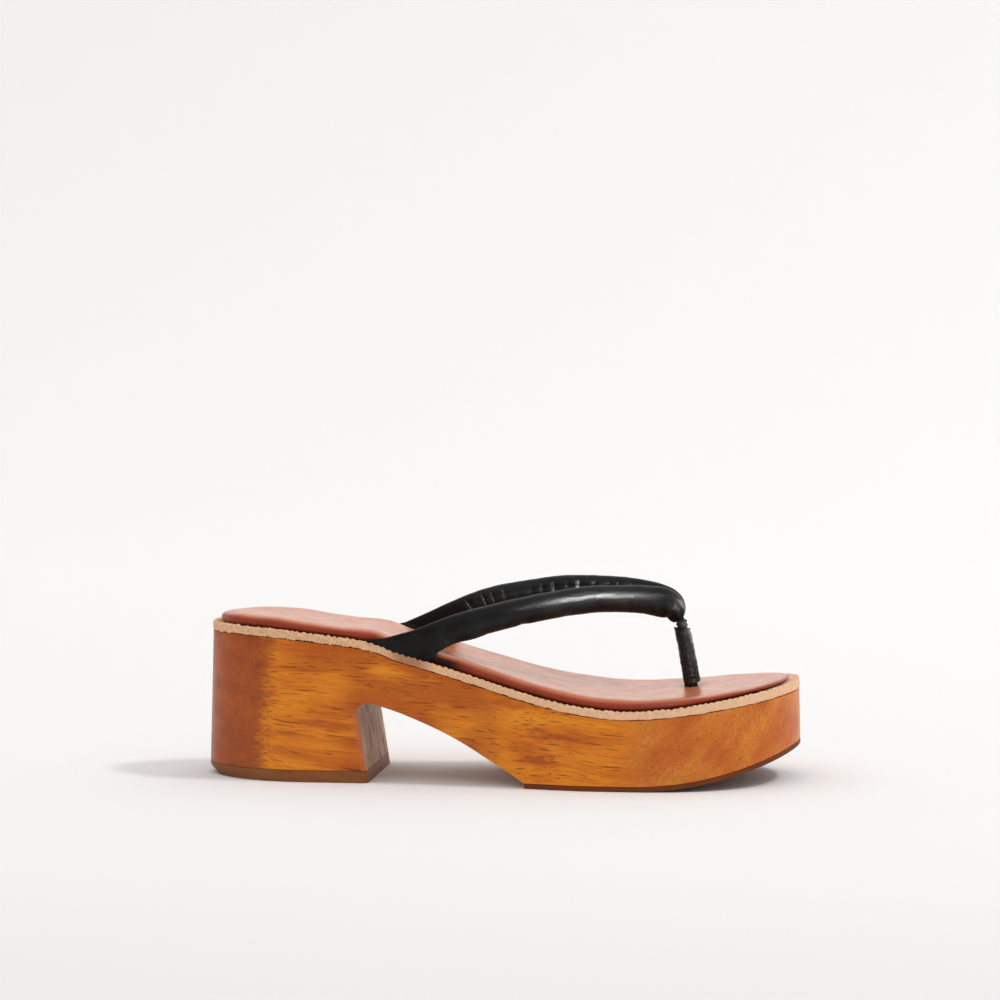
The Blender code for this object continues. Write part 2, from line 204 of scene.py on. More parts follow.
def weltLow(station):
    return woodTop(station) + solePlan["gap"]


def weltHigh(station):
    return weltLow(station) + along(soleRows, station, "welt")


def stationLine(inset, counts, first, last):
    # closer together where the heel and the toe turn
    heelCount, middleCount, toeCount = counts
    heelEnd = solePlan["heelRound"] - inset
    toeEnd = solePlan["toeRound"] - inset
    rear = solePlan["heelBack"] + solePlan["heelRound"]
    front = solePlan["toeTip"] - solePlan["toeRound"]
    turn = math.pi / 2
    line = [rear - heelEnd * math.cos(turn * i / heelCount) for i in range(heelCount)]
    line += [rear + (front - rear) * i / middleCount for i in range(middleCount)]
    line += [front + toeEnd * math.sin(turn * i / toeCount) for i in range(toeCount + 1)]
    first = max(first, solePlan["heelBack"] + inset)
    last = min(last, solePlan["toeTip"] - inset)
    return [first] + [station for station in line if first < station < last] + [last]


def bendGrid(columns, rows, spot):
    # a flat grid rolled up: each of its points moves to spot(column, row), the last column meets the first
    shape = bmesh.new()
    shape.loops.layers.uv.new("UVMap")
    bmesh.ops.create_grid(shape, x_segments=columns, y_segments=rows - 1, size=1.0, calc_uvs=True)
    for vert in shape.verts:
        column = round((vert.co.x + 1) / 2 * columns) % columns
        row = round((vert.co.y + 1) / 2 * (rows - 1))
        vert.co = spot(column, row)
    bmesh.ops.remove_doubles(shape, verts=shape.verts, dist=weldReach)
    return shape


def closeEnds(shape):
    rims = [edge for edge in shape.edges if edge.is_boundary]
    bmesh.ops.holes_fill(shape, edges=rims, sides=0)


def slabProfile(plan):
    # rows of inset, rise, lift and share of the half width: under the slab, up its wall, in over its top
    inset = solePlan["capInset"]
    lowRound = plan["edgeRound"]
    topRound = plan.get("rimRound", lowRound)
    wallRows = plan["wallRows"]
    turns = [math.pi / 2 * i / 4 for i in range(5)]
    rows = [(inset, 0.0, 0.0, share) for share in (0.0, 0.5, 1.0)]
    rows += [(lowRound * (1 - math.sin(a)), 0.0, lowRound * (1 - math.cos(a)), 1.0) for a in turns]
    rows += [(0.0, i / wallRows, 0.0, 1.0) for i in range(1, wallRows)]
    rows += [(topRound * (1 - math.cos(a)), 1.0, topRound * (math.sin(a) - 1), 1.0) for a in turns]
    rows += [(row, 1.0, 0.0, 1.0) for row in plan.get("topRows", ())]
    return rows + [(inset, 1.0, 0.0, share) for share in (1.0, 0.5, 0.0)]


def layerShape(profile, low, high, counts, first=0.0, last=solePlan["toeTip"], shift=None, nudge=None):
    lines = {row[0]: stationLine(row[0], counts, first, last) for row in profile}
    length = len(lines[profile[0][0]])

    def spot(column, row):
        inset, rise, lift, share = profile[row]
        side, number = (outerSide, column) if column < length else (innerSide, 2 * length - 1 - column)
        station = lines[inset][number]
        offset = centreLine(station) + side * halfWidth(side, station, inset) * share
        height = low(station) + rise * (high(station) - low(station)) + lift
        moved = station + (shift(station, height) if shift else 0.0)
        place = wallSpot(moved, offset, height)
        return nudge(place, column, row) if nudge else place

    return bendGrid(2 * length, len(profile), spot)


def roughen(shape, amount, size, chosen=None):
    # moves points along their normals by soft noise, sizes in mm
    shape.normal_update()
    moves = []
    for vert in chosen or shape.verts:
        moves.append((vert, vert.normal * (amount * mm * noise.noise(vert.co / (size * mm)))))
    for vert, move in moves:
        vert.co += move


def makePiece(name, shape, material=None, node=None, sharp=40.0):
    bmesh.ops.recalc_face_normals(shape, faces=shape.faces)
    mesh = bpy.data.meshes.new(name)
    shape.to_mesh(mesh)
    shape.free()
    mesh.shade_smooth()
    mesh.set_sharp_from_angle(angle=math.radians(sharp))
    piece = bpy.data.objects.new(name, mesh)
    scene.collection.objects.link(piece)
    if material:
        mesh.materials.append(material)
    if node:
        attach(piece, "root")
        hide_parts(node)
    return piece


def combine(piece, other, operation, sharp):
    cut = piece.modifiers.new("combine", "BOOLEAN")
    cut.object = other
    cut.operation = operation
    cut.solver = "EXACT"
    bpy.context.view_layer.update()
    graph = bpy.context.evaluated_depsgraph_get()
    mesh = bpy.data.meshes.new_from_object(piece.evaluated_get(graph))
    piece.modifiers.clear()
    piece.data = mesh
    mesh.set_sharp_from_angle(angle=math.radians(sharp))


# small helpers for the finishes
def paint(red, green, blue):
    def linear(value):
        share = value / 255
        return share / 12.92 if share <= 0.04045 else ((share + 0.055) / 1.055) ** 2.4

    return (linear(red), linear(green), linear(blue), 1.0)


bench = {}  # holds the node tree that is being filled, and its shader's sockets


def newFinish(name, sockets):
    material = bpy.data.materials.new(name)
    material.use_nodes = True
    bench["tree"] = material.node_tree
    bench["sockets"] = material.node_tree.nodes["Principled BSDF"].inputs
    for socket, value in sockets.items():
        bench["sockets"][socket].default_value = value
    return material


def join(value, socket):
    bench["tree"].links.new(value, socket)


def feed(socket, value):
    join(value, bench["sockets"][socket])


def put(kind, inputs=None, **options):
    node = bench["tree"].nodes.new("ShaderNode" + kind)
    for name, value in options.items():
        setattr(node, name, value)
    for name, value in (inputs or {}).items():
        if isinstance(value, bpy.types.NodeSocket):
            join(value, node.inputs[name])
        else:
            node.inputs[name].default_value = value
    return node


def calc(operation, first, second=0.0):
    return put("Math", {0: first, 1: second}, operation=operation).outputs[0]


def times(first, *others):
    for other in others:
        first = calc("MULTIPLY", first, other)
    return first


def mixed(share, first, second):
    return put("Mix", {0: share, 6: first, 7: second}, data_type="RGBA").outputs[2]


def ramp(value, stops):
    node = put("ValToRGB", {"Fac": value})
    band = node.color_ramp
    for number, (position, colour) in enumerate(stops):
        stop = band.elements[number] if number < 2 else band.elements.new(position)
        stop.position = position
        stop.color = colour
    return node.outputs["Color"]


def mapped(value, low, high, start=0.0, end=1.0, curve="SMOOTHSTEP"):
    inputs = {"Value": value, "From Min": low, "From Max": high, "To Min": start, "To Max": end}
    return put("MapRange", inputs, interpolation_type=curve).outputs["Result"]


def tipped(place, angle):
    return put("Mapping", {"Vector": place, "Rotation": (0.0, math.radians(angle), 0.0)}).outputs[0]


def inMillimetres(turn=(0.0, 0.0, 0.0)):
    inputs = {"Vector": put("TexCoord").outputs["Object"], "Rotation": turn, "Scale": (1 / mm,) * 3}
    return put("Mapping", inputs).outputs[0]


def axis(place, number):
    return put("SeparateXYZ", {0: place}).outputs[number]


def upProfile():
    return axis(put("TexCoord").outputs["UV"], 1)


def shrunk(place, size):
    if isinstance(size, float):
        size = (size, size, size)
    return put("Mapping", {"Vector": place, "Scale": tuple(1 / s for s in size)}).outputs[0]


def cloud(place, size, detail=2.0, roughness=0.5, output="Fac"):
    inputs = {"Vector": shrunk(place, size), "Scale": 1.0, "Detail": detail, "Roughness": roughness}
    return put("TexNoise", inputs).outputs[output]


def cells(place, size):
    return put("TexVoronoi", {"Vector": shrunk(place, size), "Scale": 1.0}).outputs


def vectors(operation, first, second):
    return put("VectorMath", {0: first, 1: second}, operation=operation)


def dress(colour, gloss, height, depth, strength):
    # colour, roughness and a bump of the given depth in mm
    feed("Base Color", colour)
    if gloss is not None:
        feed("Roughness", gloss)
    bump = put("Bump", {"Height": height, "Distance": depth * mm, "Strength": strength})
    feed("Normal", bump.outputs["Normal"])


# lacquered hardwood block under the whole foot
woodBlock = {
    "edgeRound": 0.25,
    "rimRound": 0.5,
    "wallRows": 16,
    "counts": (36, 84, 48),
    "heelSeat": 5.2,
    "tread": 1.9,
    "grainDip": -4.5,  # degrees, the grain drops towards the toe
    "gold": paint(243, 152, 24),
    "amber": paint(234, 134, 22),
    "russet": paint(186, 84, 14),
    "pore": paint(98, 38, 8),
    "heelDeep": paint(144, 58, 18),
    "heelPale": paint(182, 86, 28),
    "toeDeep": paint(198, 94, 30),
    "toePale": paint(222, 134, 44),
    "rawDeep": paint(142, 100, 78),
    "rawPale": paint(238, 198, 170),
    # painted highlight for the heel's rounded front edge
    "fleck": paint(236, 162, 78),
    "paintedEdgeHighlight": paint(196, 108, 66),
}
archCut = {
    "foot": (75.4, -4.0),
    "skew": 0.02,
    "breastRound": 2.4,
    "breastFoot": -54.8,
    "breastLean": 0.165,
    "edgeRound": 1.2,
    "roundSteps": 6,
    "corner": (73.9, 29.9),
    "cornerRadius": 4.1,
    "cornerAngles": (171.0, 80.0),
    "cornerSteps": 12,
    "steps": 44,
    "bottom": -4.0,
    "reach": 12.0,
    "treadStart": 142.5,
    "sharp": 32.0,
    "sawnReach": (-8.0, 1.0),  # from the breast's foot, past the tread's start
    "sawnFacing": (0.4, -0.3, 0.55),  # most sideways, least downward, least forward
}
archRows = track("station height", [(76.6, 33.9), (90.0, 29.6), (110.0, 21.0), (128.0, 10.7), (142.0, 2.1)])


def lacqueredWood():
    sockets = {"Specular IOR Level": 0.25, "Coat Weight": 0.12, "Coat Roughness": 0.22}
    material = newFinish("lacquered_wood_grain", sockets)
    level = inMillimetres((0.0, math.radians(woodBlock["grainDip"]), 0.0))
    sway = cloud(level, 55.0, 2.0, output="Color")
    sway = vectors("SUBTRACT", sway, (0.5, 0.5, 0.5)).outputs[0]
    sway = vectors("MULTIPLY", sway, (0.0, 9.0, 9.0)).outputs[0]
    grain = vectors("ADD", level, sway).outputs[0]

    bands = cloud(grain, (90.0, 10.0, 9.0), 4.0, 0.55)
    fibres = cloud(grain, (30.0, 1.3, 0.6), 3.0, 0.6)
    side = ramp(bands, [(0.34, woodBlock["russet"]), (0.48, woodBlock["amber"]), (0.62, woodBlock["gold"])])

    # end grain drank the stain: a red-brown heel back, a cloudy toe
    forward = calc("ADD", axis(level, 0), times(cloud(level, 7.0, 3.0), 7.0))
    height = axis(level, 2)
    ragged = times(cloud(level, (9.0, 3.0, 1.1), 3.0, 0.65), 16.0)
    heelEnd = mapped(calc("ADD", forward, ragged), -95.0, -85.0, 1.0, 0.0)
    toeEnd = mapped(calc("ADD", forward, ragged), 60.0, 74.0)
    heelCrest = times(mapped(forward, -98.0, -78.0), mapped(height, 36.0, 48.0))
    waistRear = calc("MAXIMUM", heelCrest, mapped(forward, -72.0, -58.0))
    drawn = mapped(cloud(grain, (34.0, 12.0, 9.0)), 0.3, 0.5)
    waist = times(waistRear, mapped(forward, -10.0, 10.0, 1.0, 0.0), drawn)
    blotch = cloud(level, (15.0, 15.0, 11.0), 5.0, 0.62)
    slant = tipped(level, -52.0)
    rising = tipped(level, 48.0)
    flame = cloud(rising, (30.0, 12.0, 10.0), 6.0, 0.62)
    heelTone = ramp(blotch, [(0.3, woodBlock["heelDeep"]), (0.7, woodBlock["heelPale"])])
    toeTone = ramp(flame, [(0.34, woodBlock["toeDeep"]), (0.72, woodBlock["toePale"])])
    fleck = mapped(cloud(rising, (2.6, 1.0, 0.8), 3.0), 0.5, 0.64)
    fleck = times(fleck, 0.42, mapped(flame, 0.44, 0.6))
    toeTone = mixed(fleck, toeTone, woodBlock["fleck"])
    colour = mixed(times(waist, 0.8), side, woodBlock["russet"])
    colour = mixed(mapped(fibres, 0.42, 0.7, 0.0, 0.34), colour, woodBlock["russet"])
    colour = mixed(times(toeEnd, 0.9), colour, toeTone)
    colour = mixed(times(heelEnd, 0.95), colour, heelTone)

    # open pores: thin dark dashes along the grain, in drifts; specks on the end grain
    drift = cloud(grain, (46.0, 9.0, 8.0), 2.0)
    drift = mapped(drift, 0.34, 0.56, 0.35, 1.0)
    dash = 0.0
    for size, reach, strength in (((28.0, 2.8, 1.2), 0.29, 0.8), ((14.0, 2.2, 0.9), 0.28, 0.8),
                                  ((8.0, 1.5, 0.62), 0.27, 0.75)):
        dot = cells(grain, size)
        chance = put("SeparateColor", {0: dot["Color"]}).outputs[0]
        mark = mapped(dot["Distance"], 0.5 * reach, reach, strength, 0.0)
        mark = times(mark, mapped(chance, 0.1, 0.8, 0.25, 1.0))
        dash = calc("MAXIMUM", dash, mark)
    dash = times(dash, drift)
    ends = calc("MAXIMUM", heelEnd, toeEnd)
    pores = times(dash, mapped(ends, 0.0, 1.0, 1.0, 0.25))
    speck = cloud(level, (1.3, 1.3, 0.9), 2.0, 0.6)
    speck = times(mapped(speck, 0.55, 0.75), ends, 0.5)
    pores = calc("MAXIMUM", pores, speck)
    colour = mixed(pores, colour, woodBlock["pore"])
    scratch = cloud(slant, (26.0, 5.0, 0.5), 1.0)
    scratch = times(mapped(scratch, 0.68, 0.8), heelEnd, 0.3)
    colour = mixed(scratch, colour, woodBlock["toePale"])

    # the sawn faces under the waist are bare; the rounded front edge of the heel on the little toe side
    # gets a painted highlight, a paler colour standing in for the reflection along that edge
    place = inMillimetres()
    plain = put("SeparateXYZ", {0: place}).outputs
    breast = calc("ADD", plain[0], times(plain[2], archCut["breastLean"]))
    breast = calc("ABSOLUTE", calc("SUBTRACT", breast, archCut["breastFoot"]))
    # mask of the painted highlight on the heel's rounded front edge, little toe side only
    edge = times(mapped(breast, 0.5, 3.0, 0.7, 0.0), mapped(plain[1], -31.5, -29.0, 1.0, 0.0),
                 mapped(plain[2], 28.0, 34.0, 1.0, 0.0))
    sawn = put("Attribute", attribute_name="sawn").outputs["Fac"]
    streak = cloud(place, (2.0, 2.2, 26.0), 4.0, 0.65)
    bare = ramp(streak, [(0.36, woodBlock["rawDeep"]), (0.66, woodBlock["rawPale"])])
    colour = mixed(sawn, colour, bare)
    colour = mixed(edge, colour, woodBlock["paintedEdgeHighlight"])
    gloss = mapped(cloud(level, 14.0, 3.0), 0.3, 0.7, 0.34, 0.44)
    gloss = calc("MAXIMUM", gloss, times(sawn, 0.85))
    relief = calc("SUBTRACT", times(fibres, 0.35), pores)
    dress(colour, gloss, relief, 0.05, 0.5)
    return material


def woodLow(station):
    middle = (archCut["foot"][0] + archCut["treadStart"]) / 2
    treadTop = springRise(station) + woodBlock["tread"] + solePlan["gap"]
    return woodBlock["heelSeat"] if station < middle else treadTop


def archOutline():
    # side view of the air under the waist: station, height, rounding of the wood's edge
    rows = [(*archCut["foot"], archCut["breastRound"])]
    start, end = archCut["cornerAngles"]
    station, height = archCut["corner"]
    radius = archCut["cornerRadius"]
    for i in range(archCut["cornerSteps"] + 1):
        angle = math.radians(start + (end - start) * i / archCut["cornerSteps"])
        spot = (station + radius * math.cos(angle), height + radius * math.sin(angle))
        rows.append((*spot, archCut["edgeRound"]))
    first = archRows["marks"][0]
    last = archRows["marks"][-1]
    for i in range(archCut["steps"] + 1):
        station = first + (last - first) * i / archCut["steps"]
        rows.append((station, along(archRows, station, "height"), archCut["edgeRound"]))
    slope = (rows[-1][1] - rows[-2][1]) / (rows[-1][0] - rows[-2][0])
    rows.append((last + (archCut["bottom"] - rows[-1][1]) / slope, archCut["bottom"], archCut["edgeRound"]))
    return rows


def archCutter():
    rows = archOutline()
    turns = [math.pi / 2 * i / archCut["roundSteps"] for i in range(archCut["roundSteps"] + 1)]
    steps = [(outerSide, turn) for turn in [None] + turns]
    steps += [(innerSide, turn) for _, turn in steps[::-1]]

    def spot(column, row):
        side, turn = steps[row]
        station, height, rounding = rows[column]
        before = rows[max(column - 1, 0)]
        after = rows[min(column + 1, len(rows) - 1)]
        heading = Vector((after[0] - before[0], after[1] - before[1])).normalized()
        grown = rounding * (1 - math.sin(turn or 0.0))
        depth = -archCut["reach"] if turn is None else rounding * (1 - math.cos(turn))
        offset = leanIn(soleEdge(side, station), height) - side * depth
        forward = station + archCut["skew"] * (offset - soleEdge(outerSide, station))
        return spotAt(forward - heading.y * grown, offset, height + heading.x * grown)

    shape = bendGrid(len(rows), len(steps), spot)
    closeEnds(shape)
    return makePiece("arch_cutter", shape)


def markSawn(piece):
    # faces of the cut under the waist, told by which way they look
    sawn = piece.data.attributes.new("sawn", "FLOAT", "FACE")
    behind, past = archCut["sawnReach"]
    rear = archCut["breastFoot"] + behind
    front = archCut["treadStart"] - solePlan["middle"] + past
    sideways, downward, ahead = archCut["sawnFacing"]
    for face in piece.data.polygons:
        within = rear < face.center.x / mm < front
        inward = abs(face.normal.y) < sideways and (face.normal.z < downward or face.normal.x > ahead)
        sawn.data[face.index].value = float(within and inward)


woodFinish = lacqueredWood()
woodShape = layerShape(slabProfile(woodBlock), woodLow, woodTop, woodBlock["counts"])
wood = makePiece("wood_block", woodShape, woodFinish, "wooden_sole")
cutter = archCutter()
combine(wood, cutter, "DIFFERENCE", archCut["sharp"])
markSawn(wood)
print("wood block carved,", len(wood.data.polygons), "faces")

# brown rubber: heel lift and forefoot tread
rubberPads = {
    "liftHeight": 4.9,
    "liftLength": 84.0,
    "chamfer": 3.0,
    "chamferHeight": 4.0,
    "edgeRound": 0.3,
    "wallRows": 6,
    "liftCounts": (30, 60, 40),
    "treadCounts": (20, 70, 46),
    "squeeze": 0.2,  # cement bead that fills the joint under the wood
    "colour": paint(142, 86, 46),
    "worn": paint(158, 102, 64),
    "dark": paint(112, 64, 34),
    "treadColour": paint(112, 54, 18),
}


def brownRubber():
    material = newFinish("brown_rubber_cut", {"Specular IOR Level": 0.22})
    place = inMillimetres()
    body = cloud(place, (16.0, 16.0, 4.0), 4.0, 0.6)
    tones = [(0.25, rubberPads["dark"]), (0.48, rubberPads["colour"]), (0.8, rubberPads["worn"])]
    colour = ramp(body, tones)
    crumb = cells(place, 0.8)
    colour = mixed(mapped(crumb["Distance"], 0.2, 0.7, 0.15, 0.0), colour, rubberPads["dark"])
    front = mapped(axis(place, 0), -20.0, 10.0, 0.0, 0.9)
    colour = mixed(front, colour, rubberPads["treadColour"])
    gloss = mapped(body, 0.3, 0.7, 0.45, 0.6)
    drag = cloud(place, (6.0, 6.0, 0.5), 3.0)
    height = calc("ADD", drag, times(crumb["Distance"], 0.4))
    dress(colour, gloss, height, 0.08, 0.6)
    return material


def liftChamfer(station, height):
    reach = (1 - min(station, rubberPads["liftLength"]) / rubberPads["liftLength"]) ** 2
    return rubberPads["chamfer"] * reach * (1 - ease(0.0, rubberPads["chamferHeight"], height))


def treadHigh(station):
    return springRise(station) + woodBlock["tread"] + rubberPads["squeeze"]


rubberFinish = brownRubber()
padProfile = slabProfile(rubberPads)
liftTop = rubberPads["liftHeight"] + rubberPads["squeeze"]
liftShape = layerShape(padProfile, lambda station: 0.0, lambda station: liftTop, rubberPads["liftCounts"],
                       last=rubberPads["liftLength"], shift=liftChamfer)
lift = makePiece("heel_lift_pad", liftShape, rubberFinish, "heel_lift")
combine(lift, cutter, "DIFFERENCE", archCut["sharp"])
bpy.data.objects.remove(cutter)
treadShape = layerShape(padProfile, springRise, treadHigh, rubberPads["treadCounts"],
                        first=archCut["treadStart"])
makePiece("forefoot_tread", treadShape, rubberFinish, "forefoot_outsole")
print("rubber lift and tread made")

# raw leather welt between the wood and the footbed, with a nibbled top edge
welt = {
    "edgeRound": 0.4,
    "wallRows": 7,
    "counts": (96, 250, 190),
    "topRows": (0.9, 1.4, 2.0, 2.8, 3.6, 4.6),
    "nibble": 2.7,
    "nibbleDepth": 0.95,
    "nibbleWidth": 0.68,
    "nibbleReach": 2.0,
    "nibbleFrom": 0.8,  # share of the wall's height
    "rim": 0.4,  # the cut edge curls up a little, the leather behind it dips
    "rimWidth": 1.3,
    "dip": 0.4,
    "dipEnds": (1.0, 2.6),
    "sway": (0.34, 3.2),  # depth and size of the unevenness
    "nap": (0.2, 0.9),
    "heelNap": (0.62, 1.15),  # torn rather than cut round the heel
    "heelFront": -52.0,
    "sharp": 60.0,
    "pale": paint(255, 208, 168),
    "tan": paint(255, 206, 162),
    "darkTan": paint(150, 88, 52),
    # painted shade for the channel behind the nibbled rim
    "paintedChannelShade": paint(150, 76, 50),
    "sheen": (1.0, 0.8, 0.64, 1.0),
    "darkerAt": -37.0,  # darkened beside the strap, mm from the middle
}


def rawLeather():
    sockets = {"Roughness": 0.92, "Specular IOR Level": 0.15, "Sheen Weight": 0.25, "Sheen Roughness": 0.6}
    sockets["Sheen Tint"] = welt["sheen"]
    material = newFinish("raw_leather_nap", sockets)
    place = inMillimetres()
    patch = cloud(place, (12.0, 12.0, 3.0), 3.0, 0.6)
    nap = cloud(place, 0.8, 3.0, 0.75)
    forward = axis(place, 0)
    bleach = calc("ADD", mapped(forward, -60.0, 110.0), times(patch, 0.5))
    colour = mixed(mapped(bleach, 0.2, 1.3), welt["tan"], welt["pale"])
    # share of the darker tan: specks in the nap, and a spot beside the strap
    darkTanShare = mapped(forward, -75.0, 30.0, 0.4, 0.2)
    darkTanShare = times(darkTanShare, mapped(nap, 0.36, 0.6, 1.0, 0.0))
    # the leather is darker beside the strap
    beside = calc("ABSOLUTE", calc("SUBTRACT", forward, welt["darkerAt"]))
    darkTanShare = calc("MAXIMUM", darkTanShare, mapped(beside, 3.0, 14.0, 0.72, 0.0))
    colour = mixed(darkTanShare, colour, welt["darkTan"])
    rise = upProfile()
    # painted shade: the welt's top behind the rim is coloured dark, standing in for the shade in the dents
    # and the gap under the footbed
    paintedChannelShade = times(mapped(forward, 108.0, 117.0, 0.85, 0.0), mapped(forward, -118.0, -108.0),
                  mapped(rise, 0.735, 0.785))
    colour = mixed(paintedChannelShade, colour, welt["paintedChannelShade"])
    dress(colour, None, nap, 0.42, 0.9)
    return material


weltProfile = slabProfile(welt)
weltLine = stationLine(0.0, welt["counts"], 0.0, solePlan["toeTip"])
weltRound = [spotAt(s, soleEdge(outerSide, s), 0.0) for s in weltLine]
weltRound += [spotAt(s, soleEdge(innerSide, s), 0.0) for s in weltLine[::-1]]
weltRun = [0.0]
for here, there in zip(weltRound, weltRound[1:]):
    weltRun.append(weltRun[-1] + (there - here).length / mm)


def nibbleEdge(place, column, row):
    # a row of small dents pressed into the top edge, all the way round
    inset, rise = weltProfile[row][:2]
    if rise < welt["nibbleFrom"]:
        return place
    beat = weltRun[column] / welt["nibble"] + 0.25 * noise.noise(Vector((weltRun[column] / 9.0, 0.0, 3.0)))
    gap = abs(beat - round(beat)) * welt["nibble"]
    deep = 0.7 + 0.7 * noise.noise(Vector((round(beat) * 1.7, 5.0, 0.0)))
    dent = welt["nibbleDepth"] * deep * bell(gap, welt["nibbleWidth"]) * bell(inset, welt["nibbleReach"])
    curl = welt["rim"] * bell(inset, welt["rimWidth"]) - welt["dip"] * ease(*welt["dipEnds"], inset)
    return place + Vector((0.0, 0.0, (curl - dent) * mm))


weltShape = layerShape(weltProfile, weltLow, weltHigh, welt["counts"], nudge=nibbleEdge)
heelWelt = [vert for vert in weltShape.verts if vert.co.x < welt["heelFront"] * mm]
roughen(weltShape, *welt["sway"])
roughen(weltShape, *welt["nap"])
roughen(weltShape, *welt["heelNap"], heelWelt)
makePiece("leather_welt", weltShape, rawLeather(), "leather_midsole", welt["sharp"])
print("welt made")

# padded footbed in smooth cognac leather
footbed = {
    "counts": (50, 110, 60),
    "steps": 40,
    "setBack": 1.2,
    "wave": (0.22, 13.0),  # depth and size of the unevenness
    "postFoot": (210.9, 12.0, 39.0),
    "pitDepth": 0.7,
    "pitWidth": 5.0,
    "topRow": 13,
    "sharp": 70.0,
    "fill": 0.9,
    "deep": paint(142, 46, 18),
    "cognac": paint(168, 62, 26),
    # the top's colours are painted lighter than the sides', standing in for the light and sheen on the top
    "litTopDeep": paint(204, 108, 60),
    "litTopPale": paint(226, 142, 92),
    "shade": paint(30, 10, 6),
    "shadeSpot": (-26.0, -28.5, 55.5),  # under the strap, in mm
}
pillowRows = track("inset rise", [
    (3.7, 0.0), (3.3, 0.3), (3.6, 0.6), (4.8, 0.84), (7.4, 0.98), (10.5, 1.0), (17.0, 0.93), (26.0, 0.88),
], numbered=True)


def cognacLeather():
    sockets = {"Specular IOR Level": 0.4, "Coat Roughness": 0.24}
    material = newFinish("cognac_leather_smooth", sockets)
    place = inMillimetres()
    mottle = cloud(place, 11.0, 4.0, 0.6)
    sides = ramp(mottle, [(0.3, footbed["deep"]), (0.7, footbed["cognac"])])
    # painted light: the top gets lighter colours than the sides
    top = ramp(mottle, [(0.3, footbed["litTopDeep"]), (0.7, footbed["litTopPale"])])
    rise = upProfile()
    colour = mixed(mapped(rise, 0.26, 0.5), sides, top)
    feed("Coat Weight", mapped(rise, 0.28, 0.5, 0.0, 0.5))
    grain = cells(place, 0.75)
    creases = mapped(grain["Distance"], 0.35, 0.75, 0.0, 0.2)
    colour = mixed(creases, colour, footbed["deep"])
    away = vectors("DISTANCE", place, footbed["shadeSpot"]).outputs["Value"]
    shade = times(mapped(away, 6.0, 20.0, 0.95, 0.0), mapped(rise, 0.24, 0.4, 1.0, 0.0))
    shade = calc("MAXIMUM", shade, mapped(rise, 0.05, 0.14, 0.4, 0.0))
    colour = mixed(shade, colour, footbed["shade"])
    # painted reflection of the dark post: the leather round the post's foot is coloured darker
    stud = Vector(footbed["postFoot"]) - Vector((solePlan["middle"], 0.0, 0.0))
    ring = vectors("DISTANCE", place, stud).outputs["Value"]
    colour = mixed(mapped(ring, 3.0, 11.0, 0.9, 0.0), colour, footbed["deep"])
    gloss = calc("MAXIMUM", mapped(cloud(place, 5.0, 3.0), 0.3, 0.7, 0.28, 0.36), shade)
    height = calc("SUBTRACT", times(cloud(place, 2.4, 2.0), 0.6), grain["Distance"])
    dress(colour, gloss, height, 0.05, 0.4)
    return material


def pillowProfile():
    last = pillowRows["marks"][-1]
    rows = [(pillowRows["inset"][0], 0.0, 0.0, share) for share in (0.0, 0.5)]
    for i in range(footbed["steps"] + 1):
        at = last * i / footbed["steps"]
        rows.append((round(along(pillowRows, at, "inset"), 4), along(pillowRows, at, "rise"), 0.0, 1.0))
    inset, rise = rows[-1][:2]
    return rows + [(inset, rise, 0.0, share) for share in (0.8, 0.6, 0.4, 0.2, 0.0)]


def bedLow(station):
    return weltHigh(station) + solePlan["gap"]


def bedHigh(station):
    return bedLow(station) + along(soleRows, station, "footbed")


def bedSetBack(station, height):
    return -footbed["setBack"] * toeShare(station)


def pressBed(place, column, row):
    foot = spotAt(*footbed["postFoot"])
    away = math.hypot(place.x - foot.x, place.y - foot.y) / mm
    pit = footbed["pitDepth"] * bell(away, footbed["pitWidth"]) if row >= footbed["topRow"] else 0.0
    return place - Vector((0.0, 0.0, pit * mm))


bedShape = layerShape(pillowProfile(), bedLow, bedHigh, footbed["counts"], shift=bedSetBack, nudge=pressBed)
roughen(bedShape, *footbed["wave"], [vert for vert in bedShape.verts if not vert.is_boundary])
bed = makePiece("padded_footbed", bedShape, cognacLeather(), "footbed", footbed["sharp"])
print("footbed made")

# stuffed black leather straps, one from each side, gathered into the toe post
straps = {
    "sides": 64,
    "rows": 300,
    "tabRows": 12,
    "neckRows": 4,
    "tabHalf": 14.0,
    "tabMiddle": 86.6,
    "tabThick": 1.15,
    "tabInset": 1.75,
    "seamWidth": 0.75,
    "puckerWidth": 3.6,
    "plump": (2.0, 4.5),  # half thickness from flat to stuffed
    "lump": (0.3, 12.0),  # depth and size of the unevenness
    "ripple": (0.1, 3.4),
    "girth": 6.0,
    "fluteDepth": 0.5,
    "flutes": 6,
    "flap": 1.4,
    "flapAt": (1.5, 0.9, 48.0),  # rows before the neck, width in rows, spread in degrees
    "droop": 1.5,
    "droopAt": (0.9, 0.8, 45.0),
    "sharp": 75.0,
    "fill": 0.9,
    "black": paint(11, 10, 10),
    "rubbed": paint(20, 19, 18),
    "crack": paint(6, 5, 5),
}
strapColumns = "station offset height halfWidth halfThick lean"
